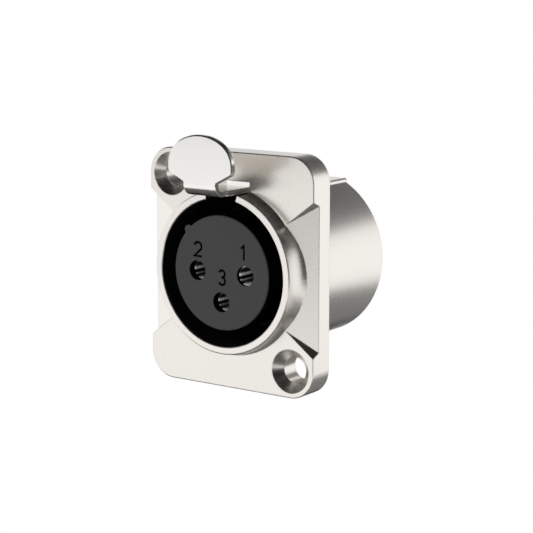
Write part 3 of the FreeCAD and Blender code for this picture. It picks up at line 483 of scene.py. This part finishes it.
def ribbon(points, width, front, back):
    """Corners and faces of a solid stroke that runs through the points."""
    sides = []
    for i, point in enumerate(points):
        before, after = points[max(i - 1, 0)], points[min(i + 1, len(points) - 1)]
        ways = [Vector((b[0] - a[0], b[1] - a[1])).normalized()
                for a, b in ((before, point), (point, after)) if a != b]
        across = sum((Vector((-way.y, way.x)) for way in ways), Vector((0, 0))).normalized()
        reach = width / 2 / max(across.dot(Vector((-ways[0].y, ways[0].x))), MITRE_LIMIT)
        sides.append([(point[0] + across.x * reach * s, point[1] + across.y * reach * s)
                      for s in (-1, 1)])
    # Each point has four corners: both sides in front, then both sides behind
    corners = [mm(x, depth, z) for side in sides for depth in (front, back) for x, z in side]
    faces = [(0, 1, 3, 2)]
    for i in range(len(points) - 1):
        a, b = 4 * i, 4 * i + 4
        faces += [(a, b, b + 1, a + 1), (a + 2, a + 3, b + 3, b + 2),
                  (a, a + 2, b + 2, b), (a + 1, b + 1, b + 3, a + 3)]
    end = 4 * len(points) - 4
    faces.append((end, end + 2, end + 3, end + 1))
    return corners, faces


print("stroke", STROKE_MM, "mm wide,", ENGRAVING_MM, "mm deep")

# %% [markdown]
# A boolean takes the solids out of a copy of the face. Each line is a tool of its own, because a
# boolean wants tools that don't cross themselves, and closed ones whose faces all point outwards.

# %% Tools for the boolean
WELD_MM = 0.001


def weld(mesh):
    """Joins doubled corners and turns every face outwards, as a boolean needs."""
    shape = bmesh.new()
    shape.from_mesh(mesh)
    bmesh.ops.remove_doubles(shape, verts=shape.verts, dist=WELD_MM * MM)
    bmesh.ops.recalc_face_normals(shape, faces=shape.faces)
    shape.to_mesh(mesh)
    shape.free()


def digit_tools(digit, low_left, height, front, back, mirror=1):
    """One solid for each stroke of a digit, between two depths in mm."""
    tools = []
    for stroke in digit_strokes()[digit]:
        line = [(low_left[0] + x * height * mirror, low_left[1] + z * height) for x, z in stroke]
        mesh = bpy.data.meshes.new("digit_%d" % digit)
        corners, faces = ribbon(line, STROKE_MM, front, back)
        mesh.from_pydata(corners, [], faces)
        weld(mesh)
        tools.append(bpy.data.objects.new(mesh.name, mesh))
        bpy.context.scene.collection.objects.link(tools[-1])
    return tools


print("strokes per digit:", {digit: len(lines) for digit, lines in digit_strokes().items()})

# %% [markdown]
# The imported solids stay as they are. Each numbered face is a new object that takes its solid's
# place, so that the pieces still match the model one to one.

# %% Cut the digits
DIGIT_HEIGHT_MM = 1.95
REAR_DIGIT_HEIGHT_MM = 1.5
# The rear insulator's flat face, which the bosses of the solder cups stand on
REAR_FACE_MM = 14.4
# How far a tool stands out of the face that it cuts
TOOL_OVERLAP_MM = 0.1
# Edges that turn by more than this stay sharp
SHARP_ANGLE = math.radians(30)
# Lower left corner of each digit in X and Z: at the front as the camera's fit gives it
front_digits = {1: (3.16, 2.05), 2: (-4.36, 1.81), 3: (-0.45, -1.5)}
# At the back the digits read from behind, so they run towards -X
rear_digits = {1: (4.2, 2.9), 2: (-3.4, 2.9), 3: (-3.0, -6.2)}


def cut_out(node_name, tools):
    """Puts a copy of a node in its place, with the tools taken out of it."""
    mesh = nodes[node_name].data.copy()
    weld(mesh)
    body = bpy.data.objects.new("numbered_" + node_name, mesh)
    bpy.context.scene.collection.objects.link(body)
    for tool in tools:
        step = body.modifiers.new(tool.name, "BOOLEAN")
        step.operation = "DIFFERENCE"
        step.solver = "MANIFOLD"
        step.object = tool
    solved = body.evaluated_get(bpy.context.evaluated_depsgraph_get())
    body.data = bpy.data.meshes.new_from_object(solved)
    body.modifiers.clear()
    for tool in tools:
        bpy.data.objects.remove(tool)
    # The stored normals belong to the uncut face and would smear the light round the digits
    if "custom_normal" in body.data.attributes:
        body.data.attributes.remove(body.data.attributes["custom_normal"])
    body.data.set_sharp_from_angle(angle=SHARP_ANGLE)
    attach(body, "socket")
    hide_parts(node_name)
    print(node_name, "has", len(mesh.polygons), "faces, numbered", len(body.data.polygons))


tools = []
for digit, corner in front_digits.items():
    tools += digit_tools(digit, corner, DIGIT_HEIGHT_MM, INSERT_FACE_MM - TOOL_OVERLAP_MM,
                         INSERT_FACE_MM + ENGRAVING_MM)
cut_out("insert_face", tools)
tools = []
for digit, corner in rear_digits.items():
    tools += digit_tools(digit, corner, REAR_DIGIT_HEIGHT_MM, REAR_FACE_MM - ENGRAVING_MM,
                         REAR_FACE_MM + TOOL_OVERLAP_MM, mirror=-1)
cut_out("rear_insulator", tools)
